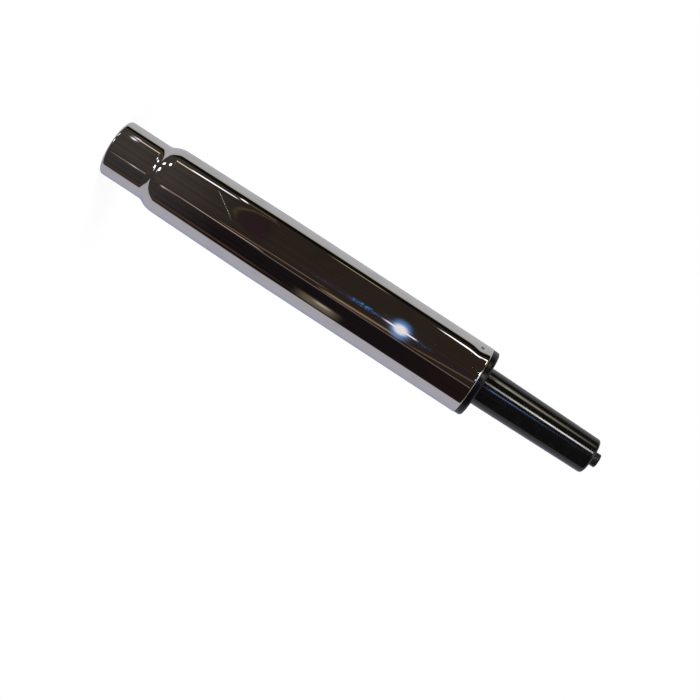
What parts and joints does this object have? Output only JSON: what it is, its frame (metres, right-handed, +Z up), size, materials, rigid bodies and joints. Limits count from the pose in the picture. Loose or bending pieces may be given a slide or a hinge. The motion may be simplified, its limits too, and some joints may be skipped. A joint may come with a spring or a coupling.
{
  "type": "chair gas lift cylinder",
  "caption": "Chair gas lift: polished column with a reduced neck, black tapered pressure tube that slides and turns in it, and a release button on top.",
  "frame": {"origin": "centre of the neck's lower rim, on which the part stands", "axes": "+Z up the cylinder's axis towards the release button; +X and +Y are free, the column's two crimps lie 30 degrees from +X and opposite"},
  "size_m": [0.05, 0.05, 0.3882],
  "materials": {
    "column_chrome": "polished chrome plate",
    "tube_black": "black semi-gloss enamel",
    "sleeve_plastic": "black moulded plastic",
    "button_black": "blackened steel",
    "bright_steel": "zinc-plated steel",
    "bearing_steel": "hardened and ground steel",
    "clip_steel": "phosphated spring steel",
    "cage_brass": "stamped brass",
    "rod_chrome": "ground hard chrome",
    "black_rubber": "moulded rubber",
    "white_plastic": "natural acetal plastic",
    "valve_aluminium": "turned aluminium"
  },
  "bodies": {
    "column": {"column_tube": "column_chrome", "guide_sleeve": "sleeve_plastic", "base_disc": "bright_steel", "lower_race": "bearing_steel"},
    "bearing_cage": {"ball_cage": "cage_brass", "bearing_balls": "bearing_steel"},
    "rod": {"piston_rod": "rod_chrome", "upper_race": "bearing_steel", "cushion_ring": "black_rubber", "support_washer": "bright_steel", "clip_washer": "bright_steel", "retaining_clip": "clip_steel", "stroke_sleeve": "white_plastic", "piston": "valve_aluminium", "piston_seal": "black_rubber", "piston_band": "white_plastic", "piston_nut": "bright_steel"},
    "gas_cylinder": {"pressure_tube": "tube_black", "inner_cylinder": "bright_steel", "rod_guide": "white_plastic", "rod_seal": "black_rubber", "seal_washer": "bright_steel", "cylinder_seat": "white_plastic", "valve_body": "valve_aluminium", "valve_rings": "black_rubber", "pin_ring": "black_rubber", "end_plug": "bright_steel"},
    "release": {"release_button": "button_black", "valve_pin": "bright_steel"}
  },
  "joints": [
    {"name": "swivel", "type": "hinge", "parent": "column", "child": "rod", "pos_m": [0, 0, 0.0129], "axis": [0, 0, 1], "continuous": true},
    {"name": "cage_spin", "type": "hinge", "parent": "column", "child": "bearing_cage", "pos_m": [0, 0, 0.0129], "axis": [0, 0, 1], "continuous": true},
    {"name": "height", "type": "slide", "parent": "rod", "child": "gas_cylinder", "axis": [0, 0, 1], "range_m": [0, 0.21]},
    {"name": "release_press", "type": "slide", "parent": "gas_cylinder", "child": "release", "axis": [0, 0, -1], "range_m": [0, 0.003], "stiffness_N_per_m": 8000}
  ],
  "couplings": [
    {"joint": "cage_spin", "follows": "swivel", "ratio": 0.5}
  ]
}
